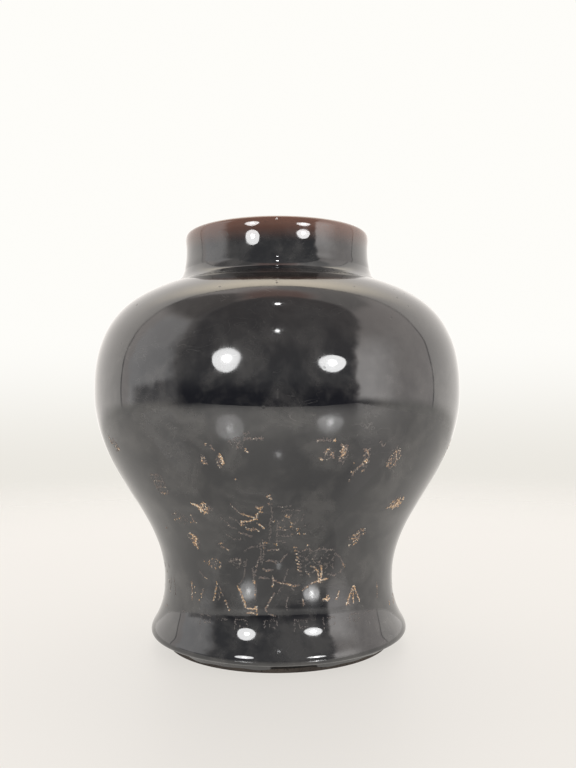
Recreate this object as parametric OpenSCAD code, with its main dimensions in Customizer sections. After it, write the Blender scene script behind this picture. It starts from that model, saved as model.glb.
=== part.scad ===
// Baluster jar: five clay sections luted together with slip, glazed black inside and out, and gilded.
// Millimetres, +Z up. The origin is on the jar's axis, in the plane that the foot ring stands on.

/* [Body] */
// Height from the foot ring to the lip
jar_h = 280; // [274:1:290]
// Diameter of the belly over the glaze
belly_d = 250.6; // [244:0.2:256]
// Height of the belly's widest line
belly_z = 171.2; // [168:0.2:175]
// Diameter of the waist over the glaze
waist_d = 157; // [153:1:161]
// Height of the waist's narrowest line
waist_z = 42.6; // [40.6:0.2:45]

/* [Foot] */
// Diameter of the flared skirt over the glaze
skirt_d = 175.2; // [172:0.2:179]
// Height of the skirt's widest line
skirt_z = 9.6; // [9:0.1:10.2]
// Outer diameter of the bare foot ring
foot_d = 152; // [149:1:155]
// Inner diameter of the foot ring
foot_bore_d = 134; // [128:1:137]
// Height of bare clay below the glaze
foot_h = 1.6; // [1.2:0.1:1.8]
// Depth of the recess under the base
recess_h = 6; // [5:0.5:7]
// Thickness of the base disc
base_t = 8; // [6:0.5:9]

/* [Neck] */
// Diameter of the neck over the glaze
neck_d = 127.6; // [124:0.2:131]
// Height at which the shoulder runs into the neck
shoulder_z = 243.7; // [242.5:0.1:244.9]
// Slope of the shoulder at the neck, in degrees
shoulder_slope = 18.8; // [17:0.2:21]

/* [Walls] */
// Thickness of the wall, with both glazes
wall_t = 6.8; // [6:0.1:7.4]
// Thickness of each glaze
glaze_t = 0.6; // [0.4:0.1:0.8]
// Thickness of a slip joint
slip_t = 1.6; // [1.2:0.2:2.4]
// Radius of the slip bead that is wiped down inside the wall
bead_r = 4; // [3.5:0.5:5]
// How far the bead stands out of the wall
bead_h = 1.4; // [1:0.2:1.8]

/* [Gilding] */
// Thickness of the gilding
gilt_t = 0.15; // [0.12:0.01:0.2]
// Width of a gilt line
gilt_line = 0.6; // [0.4:0.1:0.8]

/* [Hidden] */
$fn = 96;

clay_color = "tan";
slip_color = "wheat";
glaze_color = "#17120f";
gilt_color = "goldenrod";

belly_r = belly_d / 2;
waist_r = waist_d / 2;
skirt_r = skirt_d / 2;
foot_r = foot_d / 2;
neck_r = neck_d / 2;
neck_in_r = neck_r - wall_t;
// Distance from the outer glaze's face to the bare clay inside
clay_in = wall_t - glaze_t;
lip_r = neck_r - wall_t / 2;
// Height over which the lip rounds off
lip_h = 7;
floor_z = recess_h + base_t;
floor_r = waist_r - clay_in;
// Radius of the coil pressed into the corner between the base and the wall
coil_r = 5;
// Gap round the base disc that the slip fills
base_gap = 1.2;
// Heights of the slip joints' lower faces
foot_joint_z = waist_z - 10;
belly_joint_z = belly_z - slip_t / 2;
neck_joint_z = shoulder_z + 3.5;
// Higher and wider than the whole jar
beyond = 400;
// How far the gilding is bedded into the glaze, so that a flat bar meets the curved wall
gilt_bed = 0.06;

// Outline of the outer glaze as Bezier curves in [radius, height], from the foot to the lip
shoulder_end = [neck_r + 10.1, shoulder_z];
shoulder_dir = [cos(shoulder_slope), -sin(shoulder_slope)];
ring_r = foot_r + glaze_t;
roll = [[ring_r, foot_h], [ring_r, foot_h + 6.9], [skirt_r, skirt_z - 4.8], [skirt_r, skirt_z]];
flare = [[skirt_r, skirt_z], [skirt_r, skirt_z + 6.4], [waist_r, waist_z - 23.9], [waist_r, waist_z]];
swell = [[waist_r, waist_z], [waist_r, waist_z + 48.7], [belly_r, belly_z - 57.2], [belly_r, belly_z]];
dome = [[belly_r, belly_z], [belly_r, belly_z + 48.7], shoulder_end + 28.2 * shoulder_dir, shoulder_end];
cove = [shoulder_end, shoulder_end - 3.9 * shoulder_dir, [neck_r + 0.5, shoulder_z + 6.1],
  [neck_r, shoulder_z + 10.6]];
lip_out = [[neck_r, jar_h - lip_h], [neck_r, jar_h - 2.5], [lip_r + 2, jar_h], [lip_r, jar_h]];
// Inner glaze's face where the dome turns up into the neck, and over the lip
throat_start = shoulder_end - wall_t * [sin(shoulder_slope), cos(shoulder_slope)];
throat = [throat_start, throat_start - 8 * shoulder_dir, [neck_in_r, shoulder_z], [neck_in_r, shoulder_z + 7.3]];
lip_in = [[neck_in_r, jar_h - lip_h], [neck_in_r, jar_h - 2.5], [lip_r - 2, jar_h], [lip_r, jar_h]];

function bezier(b, t) =
  pow(1 - t, 3) * b[0] + 3 * t * pow(1 - t, 2) * b[1] + 3 * t * t * (1 - t) * b[2] + pow(t, 3) * b[3];
function bezier_dir(b, t) =
  pow(1 - t, 2) * (b[1] - b[0]) + 2 * t * (1 - t) * (b[2] - b[1]) + t * t * (b[3] - b[2]);
function left_of(dir) = [-dir[1], dir[0]] / norm(dir);
// Points of a curve moved d to its left, which is towards the axis on the outside of the jar
function inset(b, d, steps) =
  [for (i = [0 : steps]) bezier(b, i / steps) + d * left_of(bezier_dir(b, i / steps))];
function reversed(list) = [for (i = [len(list) - 1 : -1 : 0]) list[i]];

// Outside of the jar, d below the outer glaze's face
function outer_line(d) = concat(
  inset(roll, d, 8), inset(flare, d, 12), inset(swell, d, 24), inset(dome, d, 24), inset(cove, d, 10),
  inset(lip_out, d, 8));
// Inside wall of the jar, d above the bare clay, from the floor to the lip
function inner_line(d) = concat(
  [for (a = [-90 : 15 : 0]) [floor_r - coil_r, floor_z + coil_r] + (coil_r - d) * [cos(a), sin(a)]],
  inset(swell, clay_in + d, 24), inset(dome, clay_in + d, 24), inset(throat, d - glaze_t, 12),
  inset(lip_in, d - glaze_t, 8));
function by_height(line) = [for (p = line) [p[1], p[0]]];

glaze_face = by_height(outer_line(0));
function face_r(z) = lookup(z, glaze_face);
// Lean of the outer face from upright at height z, in degrees
function lean(z) = atan2(face_r(z + 0.5) - face_r(z - 0.5), 1);
clay_face = by_height([for (p = inner_line(0)) if (p[1] > floor_z + coil_r) p]);

module cavity_shape(d) {
  polygon(concat([[0, floor_z + d]], inner_line(d), [[lip_r, beyond], [0, beyond]]));
}

module band(z0, z1) {
  translate([0, z0]) square([beyond, z1 - z0]);
}

module clay_shape(z0, z1) {
  intersection() {
    difference() {
      polygon(concat([[0, 0], [foot_r, 0]], outer_line(glaze_t), [[0, jar_h - glaze_t]]));
      cavity_shape(0);
    }
    band(z0, z1);
  }
}

// Section of a bead at height z, thickened by d
module bead_circle(z, d) {
  translate([lookup(z, clay_face) + bead_r - bead_h, z]) circle(bead_r + d);
}

// Sections of the three beads inside the wall, thickened by d
module beads(d) {
  for (z = [foot_joint_z, belly_joint_z, neck_joint_z]) bead_circle(z + slip_t / 2, d);
}

module slip_ring(z) {
  color(slip_color) rotate_extrude() {
    clay_shape(z, z + slip_t);
    intersection() {
      bead_circle(z + slip_t / 2, 0);
      cavity_shape(0);
    }
  }
}

module foot_section() {
  color(clay_color) rotate_extrude() difference() {
    clay_shape(0, foot_joint_z);
    square([foot_bore_d / 2, floor_z]);
    translate([0, recess_h]) square([floor_r, beyond]);
  }
}

module base_disc() {
  color(clay_color) translate([0, 0, recess_h]) cylinder(h = base_t, r = floor_r - base_gap);
}

module base_slip_joint() {
  color(slip_color) rotate_extrude() {
    translate([floor_r - base_gap, recess_h]) square([base_gap, base_t]);
    difference() {
      translate([floor_r - coil_r, floor_z]) square(coil_r);
      translate([floor_r - coil_r, floor_z + coil_r]) circle(coil_r);
    }
  }
}

module foot_slip_joint() slip_ring(foot_joint_z);

module lower_body() {
  color(clay_color) rotate_extrude() clay_shape(foot_joint_z + slip_t, belly_joint_z);
}

module belly_slip_joint() slip_ring(belly_joint_z);

module shoulder_dome() {
  color(clay_color) rotate_extrude() clay_shape(belly_joint_z + slip_t, neck_joint_z);
}

module neck_slip_joint() slip_ring(neck_joint_z);

module neck_collar() {
  color(clay_color) rotate_extrude() clay_shape(neck_joint_z + slip_t, jar_h);
}

module inner_glaze() {
  color(glaze_color) rotate_extrude() difference() {
    cavity_shape(0);
    beads(0);
    difference() {
      cavity_shape(glaze_t);
      beads(glaze_t);
    }
  }
}

module outer_glaze() {
  color(glaze_color) rotate_extrude() polygon(concat(outer_line(0), reversed(outer_line(glaze_t))));
}

// A bar of gilding on the outer glaze. The motif's place is [angle round the jar, height, turn, scale], and
// u and v are the bar's place in the motif, along the wall and up it. Angle 0 faces -Y and grows towards +X.
module bar(place, u, v, turn, length, width = gilt_line) {
  size = place[3];
  across = size * (u * cos(place[2]) - v * sin(place[2]));
  up = size * (u * sin(place[2]) + v * cos(place[2]));
  z = place[1] + up * cos(lean(place[1]));
  rotate([0, 0, place[0] + across / face_r(z) * 180 / PI]) translate([0, -face_r(z), z])
    rotate([lean(z), 0, 0]) rotate([0, -turn - place[2], 0])
      translate([-size * length / 2, gilt_bed - gilt_t, -width / 2]) cube([size * length, gilt_t, width]);
}

// Bars laid end to end along points [u, v], with a worn gap between them
module bar_chain(place, points, gap = 0.25, width = gilt_line) {
  for (i = [1 : len(points) - 1]) {
    step = points[i] - points[i - 1];
    middle = (points[i] + points[i - 1]) / 2;
    bar(place, middle[0], middle[1], atan2(step[1], step[0]), norm(step) * (1 - gap), width);
  }
}

// Dots on a ring
module dot_ring(place, r, count, start = 0) {
  for (a = [start : 360 / count : start + 359]) bar(place, r * cos(a), r * sin(a), a + 90, 1.1);
}

// Strokes that fan out of one point between two angles
module fan(place, count, from, to, inner, outer) {
  for (i = [0 : count - 1]) {
    a = from + (to - from) * i / (count - 1);
    middle = (inner + outer) / 2 + (i % 2) * 0.7;
    bar(place, middle * cos(a), middle * sin(a), a, outer - inner);
  }
}

// The serpent's middle line, as [u, v] in millimetres, for t from 0 at the throat to 1 at the lowest coil
serpent_place = [-5, 72, 0, 1];
function serpent_line(t) = [3.5 * sin(300 * t) - 2 * t, 26 - 52 * t];

module gilt_serpent_belly() {
  color(gilt_color) {
    for (t = [0 : 0.1 : 1]) bar(serpent_place, serpent_line(t)[0], serpent_line(t)[1], 4, 4.6);
    for (side = [-3.4, 3.4])
      bar_chain(serpent_place, [for (t = [0 : 0.0625 : 1]) serpent_line(t) + [side, 0]], 0.45);
  }
}

// Arched back of the serpent on each side of the belly, as [u, v] in millimetres
function left_coil(t) = [-9 - 26 * t, 8 - 16 * t * t];
function right_coil(t) = [10 + 22 * t, 20 - 22 * t - 8 * sin(180 * t)];

module gilt_serpent_scales() {
  color(gilt_color) {
    bar_chain(serpent_place, [for (t = [0 : 0.125 : 1]) left_coil(t)], 0.4);
    for (t = [0.1 : 0.15 : 1]) {
      bar(serpent_place, left_coil(t)[0], left_coil(t)[1] - 4, 35, 3);
      bar(serpent_place, right_coil(t)[0] - 1, right_coil(t)[1] - 4, -50, 2.4);
    }
    bar_chain(serpent_place, [for (t = [0 : 0.08 : 1]) right_coil(t)], 0.5);
    for (row = [0 : 2]) for (i = [0 : 3]) bar(serpent_place, 7 + 2.2 * row, 14 - 5 * i - 2 * row, 20, 1.8);
    dot_ring([-29, 64, 0, 1], 3.4, 9);
    dot_ring([-29, 64, 0, 1], 1.6, 4, 20);
    bar_chain([-12, 92, 0, 1], [[-8, 9], [-5, 5], [0, 2], [4, 1], [7, -2]], 0.2);
    fan([-11, 91, 0, 1], 5, 150, 250, 1, 5);
    fan([-2, 105, 0, 1], 5, 20, 170, 0.8, 3.6);
  }
}

// Three talons on a wrist, and the shank behind it
module claw(place) {
  bar_chain(place, [[0, 0], [0.9, 3.4], [0.4, 7.6]], 0.08, 0.8);
  bar_chain(place, [[0, 0], [-2.2, 3.2], [-3.4, 7.2]], 0.08, 0.8);
  bar_chain(place, [[0, 0], [2.2, 0.6], [4.6, 0.4]], 0.1, 0.7);
  bar_chain(place, [[0, 0], [-4.4, -2], [-9.4, -4.6], [-15, -2.4], [-20, -1.2], [-24, -2.6]], 0.15);
}

module gilt_claws() {
  color(gilt_color) {
    claw([21, 55, 0, 1]);
    bar_chain([-16, 45, 0, 1], [[-4.4, 7.5], [-2, 1], [1, -6.4], [4, -7.4], [8, -7.6]], 0.08, 0.8);
    bar_chain([-8, 36, 0, 1], [[0, 3.6], [0.4, 0], [3, -2.6]], 0.1, 0.8);
    claw([163, 62, 12, 0.9]);
    claw([215, 54, 160, 0.9]);
  }
}

// A cloud wisp with a dense head and a thin tail
module wisp(place) {
  fan(place, 4, 150, 215, 1, 6.4);
  fan(place, 3, -30, 60, 0.5, 3);
  bar(place, -7.5, 2.8, 160, 2.2);
}

module gilt_cloud_wisps() {
  color(gilt_color) {
    for (place = [[-28, 100, -12, 1.1], [-39, 80, -62, 1], [-10, 91, 10, 1], [55, 98, 30, 0.8]]) wisp(place);
    for (i = [0 : 6]) wisp([90 + 30 * i, 92 + 16 * sin(137 * i), 50 * i, 0.95]);
    bar_chain([-7, 140, 0, 1], [[-9, 0], [-4, 1], [1, 0.6], [6, 1.4], [9, 0.4]], 0.35);
  }
}

module medallion(place) {
  dot_ring(place, 5.6, 11);
  dot_ring(place, 2.6, 5, 30);
}

module gilt_medallions() {
  color(gilt_color) {
    medallion([-44, 112, 0, 1]);
    medallion([35.5, 80, 15, 0.95]);
    for (i = [0 : 3]) medallion([100 + 50 * i, 118 - 9 * (i % 2), 20 * i, 1]);
  }
}

module sprig(place) {
  fan(place, 5, 0, 288, 0.9, 3.4);
  bar_chain(place, [[0, -3.8], [-1, -6], [-2.8, -8.2]], 0.35);
}

module gilt_blossom_sprigs() {
  color(gilt_color) {
    for (place = [[-17, 137, 10, 0.8], [-13, 126, 70, 0.5], [14, 137, -80, 0.7], [20, 131, 25, 0.9],
        [27.5, 126, -25, 1], [38, 128, 8, 1.1], [-62, 134, 40, 1.2]])
      sprig(place);
    for (i = [0 : 7]) sprig([72 + 25 * i, 134 + 7 * sin(100 * i), 55 * i, 1]);
  }
}

// Leaf-shaped peak with a smaller one inside it
module peak(place) {
  for (side = [-1, 1]) {
    bar_chain(place, [[side * 0.3, 7], [side * 1.8, 2.4], [side * 3.2, -2.4], [side * 4.6, -7]], 0.3);
    bar(place, side * 1.2, -3.4, -side * 74, 3);
  }
}

module gilt_peak_border() {
  color(gilt_color) {
    for (az = [-57, -43, -29, 37, 51, 78, 92, 120, 134, 162, 190, 204, 232, 260, 274]) peak([az, 44, 0, 1]);
    bar_chain([25, 43, 0, 1], [[-2.4, 0], [0, 0], [2.4, 0]], 0.1);
    bar([25, 43, 0, 1], 0, 0.4, 90, 3.4);
    bar([31, 44, 0, 1], 0, 0, 62, 4);
  }
}

// One turn of a key fret
module fret(place) {
  bar_chain(place, [[-4.4, -3], [-4.4, 3], [3, 3], [3, -1], [-1.4, -1], [-1.4, 1]], 0.12);
}

module gilt_fret_border() {
  color(gilt_color) for (az = [-66 : 13 : 280]) fret([az, 29.5, 0, 1]);
}

foot_section();
base_disc();
base_slip_joint();
foot_slip_joint();
lower_body();
belly_slip_joint();
shoulder_dome();
neck_slip_joint();
neck_collar();
inner_glaze();
outer_glaze();
gilt_serpent_belly();
gilt_serpent_scales();
gilt_claws();
gilt_cloud_wisps();
gilt_medallions();
gilt_blossom_sprigs();
gilt_peak_border();
gilt_fret_border();
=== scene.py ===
import math

import bpy
import numpy as np
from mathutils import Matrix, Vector
from mathutils.bvhtree import BVHTree


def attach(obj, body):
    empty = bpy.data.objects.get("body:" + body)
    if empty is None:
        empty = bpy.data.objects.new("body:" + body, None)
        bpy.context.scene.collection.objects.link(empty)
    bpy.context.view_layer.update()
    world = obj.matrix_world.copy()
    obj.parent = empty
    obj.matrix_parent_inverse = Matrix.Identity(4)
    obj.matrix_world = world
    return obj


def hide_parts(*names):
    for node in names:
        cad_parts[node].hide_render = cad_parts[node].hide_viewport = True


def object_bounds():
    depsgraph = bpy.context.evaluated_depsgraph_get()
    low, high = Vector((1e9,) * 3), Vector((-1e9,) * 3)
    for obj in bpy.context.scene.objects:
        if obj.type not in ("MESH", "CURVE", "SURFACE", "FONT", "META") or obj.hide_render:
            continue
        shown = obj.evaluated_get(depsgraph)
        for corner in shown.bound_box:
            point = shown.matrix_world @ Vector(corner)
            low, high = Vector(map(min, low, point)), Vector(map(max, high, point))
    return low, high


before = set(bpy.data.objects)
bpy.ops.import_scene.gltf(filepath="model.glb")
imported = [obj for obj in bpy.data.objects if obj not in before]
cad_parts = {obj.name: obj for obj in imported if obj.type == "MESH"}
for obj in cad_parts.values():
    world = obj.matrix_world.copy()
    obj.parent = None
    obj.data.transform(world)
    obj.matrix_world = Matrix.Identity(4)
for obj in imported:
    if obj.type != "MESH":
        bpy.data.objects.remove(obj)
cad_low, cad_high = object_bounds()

# A glazed and gilded baluster jar. Metres, in the CAD frame: +Z up, the jar's axis on Z, and the camera
# on the -Y side. Angles round the jar grow from 0 at -Y towards +X.

MM = 0.001
UP = np.array([0, 0, 1.0])
TOP_Z = cad_high.z
# points round each ring of the glaze, and rings up its outer and inner faces
AROUND = 288
FACE_STEPS = 300
INNER_STEPS = 260
# every how many rings the hidden backs of the glazes have one
BACK_STEP = 8
INNER_BACK_STEP = 5
rng = np.random.default_rng(1908)


# ---------------------------------------------------------------- small helpers

def direction(angle):
    """Horizontal unit vectors at angles round the jar, in radians."""
    return np.stack([np.sin(angle), -np.cos(angle), np.zeros_like(angle)], axis=-1)


def smoothstep(value, low, high):
    t = np.clip((np.asarray(value, float) - low) / (high - low), 0, 1)
    return t * t * (3 - 2 * t)


def placed(name, data):
    """Makes an object of data and puts it in the scene."""
    made = bpy.data.objects.new(name, data)
    bpy.context.scene.collection.objects.link(made)
    return made


def node_tree_of(name):
    """BVH tree of a CAD node."""
    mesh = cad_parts[name].data
    return BVHTree.FromPolygons([v.co for v in mesh.vertices], [p.vertices for p in mesh.polygons])


def add_mesh(name, points, faces, replaced=(), smooth=True):
    """Makes a piece on the jar's one body from points and faces, and hides the CAD nodes it replaces."""
    mesh = bpy.data.meshes.new(name)
    mesh.from_pydata([tuple(p) for p in points], [], faces)
    mesh.validate()
    mesh.polygons.foreach_set("use_smooth", [smooth] * len(mesh.polygons))
    piece = placed(name, mesh)
    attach(piece, "root")
    if replaced:
        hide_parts(*replaced)
    return piece


# ---------------------------------------------------------------- outlines read from the CAD model

def spline(points, count):
    """Natural cubic spline through points [radius, height], resampled to count points evenly along it."""
    points = np.asarray(points, float)
    along = np.concatenate([[0], np.cumsum(np.linalg.norm(np.diff(points, axis=0), axis=1))])
    gap = np.diff(along)
    size = len(points)
    matrix = np.zeros((size, size))
    matrix[0, 0] = matrix[-1, -1] = 1
    right = np.zeros((size, 2))
    for i in range(1, size - 1):
        matrix[i, i - 1 : i + 2] = gap[i - 1], 2 * (gap[i - 1] + gap[i]), gap[i]
        right[i] = 6 * ((points[i + 1] - points[i]) / gap[i] - (points[i] - points[i - 1]) / gap[i - 1])
    bend = np.linalg.solve(matrix, right)
    s = np.linspace(0, along[-1], count)
    k = np.clip(np.searchsorted(along, s, side="right") - 1, 0, size - 2)
    h, a, b = gap[k][:, None], (along[k + 1] - s)[:, None], (s - along[k])[:, None]
    return (
        bend[k] * a**3 / (6 * h)
        + bend[k + 1] * b**3 / (6 * h)
        + (points[k] / h - bend[k] * h / 6) * a
        + (points[k + 1] / h - bend[k + 1] * h / 6) * b
    )


def outer_outline():
    """[radius, height] points of the outer glaze's face, from the foot to the top of the lip."""
    outside = 0.3
    on_face, least_gap, straight, straight_step = 0.25 * MM, 0.2 * MM, 8 * MM, 2 * MM
    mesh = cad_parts["outer_glaze"].data
    tree = node_tree_of("outer_glaze")
    corners = {}
    for v in mesh.vertices:
        radius = math.hypot(v.co.x, v.co.y)
        corners.setdefault((round(radius / MM, 2), round(v.co.z / MM, 2)), (radius, v.co.z, v.co.copy()))
    points = []
    for radius, height, corner in corners.values():
        out = Vector((corner.x, corner.y, 0)).normalized()
        start = out * outside + Vector((0, 0, height))
        hit = tree.ray_cast(start, -out)[0]
        if hit and abs(math.hypot(hit.x, hit.y) - radius) < on_face:
            points.append((radius, height))
    lip = max(corners, key=lambda c: (c[1], -c[0]))
    foot = min(corners, key=lambda c: c[1])
    points += [corners[lip][:2], corners[foot][:2]]
    points = sorted(set(points), key=lambda p: p[1])
    kept = [points[0]]
    for p in points[1:]:
        gap = math.dist(p, kept[-1])
        if gap > least_gap:
            a = np.array(kept[-1])
            pieces = round(gap / straight_step) if gap > straight else 1
            kept += [tuple(a + (np.array(p) - a) * i / pieces) for i in range(1, pieces + 1)]
    return kept


def inner_outline(step=1.5 * MM):
    """[radius, height] points of the inner glaze's face, from the middle of the floor to the lip's top."""
    tree = node_tree_of("inner_glaze")
    near_axis, floor_points, above_floor, below_lip = 1 * MM, 24, 0.2 * MM, 0.15 * MM
    floor = tree.ray_cast(Vector((near_axis, near_axis, TOP_Z)), Vector((0, 0, -1)))[0].z
    levels = np.arange(floor + above_floor, TOP_Z - below_lip, step)
    off_corners = math.radians(7)
    out = Vector((math.sin(off_corners), -math.cos(off_corners), 0))
    points = []
    for z in levels:
        hit = tree.ray_cast(Vector((0, 0, z)), out)[0]
        points.append((math.hypot(hit.x, hit.y), z))
    flat = [(r, floor) for r in np.linspace(0, points[0][0] - step, floor_points)]
    return flat + points


# The thrower's fingers left a wide cove under the neck, a waist in it and a soft rim: heights in mm, and
# how far the wall leans in there, in degrees. The relief dies out over RIM_FADE, to meet the inner glaze.
NECK_LEAN = [(244, 0), (246, -8), (251, -8), (253, -4), (255.5, 9), (257.5, 9), (260, 7.5), (262.9, 4),
    (267.6, 0.3), (271.5, -4.5), (274, -6), (275.5, -6), (277, -8), (278.5, 0), (280, 0)]
RIM_FADE = (278.6, 279.9)
# The soft swelling where the skirt was drawn out, in mm: how far it stands out, its height, half its width.
SKIRT_SWELL = (0.23, 22.5, 6)


def thrown_relief(z):
    """How far the thrown wall stands out from the CAD outline at heights z, all in mm."""
    lean_z, lean = np.array(NECK_LEAN).T
    step = 0.05
    fine_z = np.arange(lean_z[0], lean_z[-1], step)
    neck = -np.cumsum(np.tan(np.radians(np.interp(fine_z, lean_z, lean)))) * step
    neck *= 1 - smoothstep(fine_z, *RIM_FADE)
    out, middle, half = SKIRT_SWELL
    return np.interp(z, fine_z, neck, left=0) + out * np.exp(-((z - middle) / half) ** 2)


INNER = inner_outline()
FACE = spline(outer_outline(), FACE_STEPS)
FACE[:, 0] += thrown_relief(FACE[:, 1] / MM) * MM
FACE_LENGTH = np.concatenate([[0], np.cumsum(np.linalg.norm(np.diff(FACE, axis=0), axis=1))])
FACE_SHARE = FACE_LENGTH / FACE_LENGTH[-1]


def normals_of(line):
    """Unit normals of an outline, to the right of its way along."""
    tangent = np.gradient(line, axis=0)
    tangent /= np.linalg.norm(tangent, axis=1)[:, None]
    return np.stack([tangent[:, 1], -tangent[:, 0]], axis=1)


FACE_NORMAL = normals_of(FACE)


# ---------------------------------------------------------------- the glaze's hand-made unevenness

# turns round the jar, turns along the outline, height of the wave in mm, phase
WAVES = [
    (2, 0.3, 0.12, 0.4), (3, 0.8, 0.07, 2.1), (1, 2.3, 0.06, 1.0), (5, 1.1, 0.035, 4.0),
    (0, 9.5, 0.022, 0.7), (1, 14.2, 0.018, 3.3), (2, 19.7, 0.012, 5.1), (7, 5.3, 0.010, 2.2),
    (9, 11.6, 0.008, 0.2), (13, 7.7, 0.007, 1.6), (17, 17.0, 0.005, 3.9),
]
# shares of the outline over which the waves grow at the foot, die out at the lip and calm down at the neck
FOOT_SHARE, LIP_SHARE, NECK_SHARE = (0.0, 0.03), (0.985, 1.0), (0.84, 0.90)
NECK_CALM = 0.6


def unevenness(angle, along):
    """How far the glaze's face stands out at an angle and a share of the outline, in metres."""
    total = np.zeros(np.broadcast(angle, along).shape)
    for turns_round, turns_along, height, phase in WAVES:
        total += height * MM * np.sin(turns_round * angle + 2 * math.pi * turns_along * along + phase)
    ends = smoothstep(along, *FOOT_SHARE) * (1 - smoothstep(along, *LIP_SHARE))
    return total * ends * (1 - NECK_CALM * smoothstep(along, *NECK_SHARE))


def face_point(angle, z, lift=0.0):
    """Points on the uneven outer face at angles and heights, lifted off it along the normal."""
    angle, z = np.asarray(angle, float), np.asarray(z, float)
    row = np.interp(z, FACE[:, 1], np.arange(FACE_STEPS))
    low = np.clip(row.astype(int), 0, FACE_STEPS - 2)
    part = (row - low)[..., None]
    line = FACE[low] * (1 - part) + FACE[low + 1] * part
    normal = FACE_NORMAL[low] * (1 - part) + FACE_NORMAL[low + 1] * part
    along = np.interp(row, np.arange(FACE_STEPS), FACE_SHARE)
    line = line + normal * (unevenness(angle, along) + lift)[..., None]
    return direction(angle) * line[..., :1] + UP * line[..., 1:]


ANGLES = np.arange(AROUND) * 2 * math.pi / AROUND


def rings(radius, height):
    """Points round the axis: a row for each outline point, a column for each of ANGLES."""
    radius, height = np.broadcast_arrays(radius, height)
    return direction(ANGLES) * radius[..., None] + UP * height[..., None]


def revolve(rows, closed=False):
    """Quads of a surface whose rows of AROUND points go round the jar; rows may close on themselves."""
    columns = np.arange(AROUND)
    after = (columns + 1) % AROUND
    faces = []
    last = rows if closed else rows - 1
    for j in range(last):
        k = (j + 1) % rows
        a, b = j * AROUND + columns, j * AROUND + after
        c, d = k * AROUND + after, k * AROUND + columns
        faces.append(np.stack([a, b, c, d], axis=1))
    return np.concatenate(faces).tolist()


# ---------------------------------------------------------------- node graphs

class Graph:
    """Adds nodes by short calls that return output sockets. Inputs called i0, i1... go by number."""

    def __init__(self, tree):
        self.tree = tree
        tree.nodes.clear()

    def feed(self, socket, value):
        if isinstance(value, bpy.types.NodeSocket):
            self.tree.links.new(value, socket)
        elif value is not None:
            socket.default_value = value

    def add(self, kind, output=0, settings=None, **inputs):
        node = self.tree.nodes.new(kind)
        for key, value in (settings or {}).items():
            setattr(node, key, value)
        for key, value in inputs.items():
            self.feed(node.inputs[int(key[1:]) if key[1:].isdigit() else key.replace("_", " ")], value)
        return node.outputs[output] if node.outputs else None

    def math(self, operation, a, b=None, c=None):
        return self.add("ShaderNodeMath", 0, {"operation": operation}, i0=a, i1=b, i2=c)

    def step(self, value, low, high, start=0.0, end=1.0):
        """Smooth step from start at low to end at high."""
        settings = {"interpolation_type": "SMOOTHSTEP"}
        return self.add("ShaderNodeMapRange", 0, settings, i0=value, i1=low, i2=high, i3=start, i4=end)

    def window(self, value, low_out, low_in, high_in, high_out):
        """1 between low_in and high_in, falling smoothly to 0 at low_out and high_out."""
        return self.times(self.step(value, low_out, low_in), self.step(value, high_out, high_in))

    def times(self, first, *others):
        for other in others:
            first = self.math("MULTIPLY", first, other)
        return first

    def mix(self, factor, a, b):
        node = self.tree.nodes.new("ShaderNodeMix")
        node.data_type = "RGBA"
        self.feed(node.inputs[0], factor)
        self.feed(node.inputs[6], a)
        self.feed(node.inputs[7], b)
        return node.outputs[2]

    def noise(self, vector, scale, detail=3.0, roughness=0.5, distortion=0.0):
        return self.add("ShaderNodeTexNoise", 0, None, Vector=vector, Scale=scale, Detail=detail,
            Roughness=roughness, Distortion=distortion)

    def bump(self, height, strength, distance, below=None):
        return self.add("ShaderNodeBump", 0, None, Height=height, Strength=strength, Distance=distance,
            Normal=below)


def material(name):
    made = bpy.data.materials.new(name)
    made.use_nodes = True
    graph = Graph(made.node_tree)
    shader = made.node_tree.nodes.new("ShaderNodeBsdfPrincipled")
    output = made.node_tree.nodes.new("ShaderNodeOutputMaterial")
    graph.tree.links.new(shader.outputs[0], output.inputs[0])
    return made, graph, shader


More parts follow.
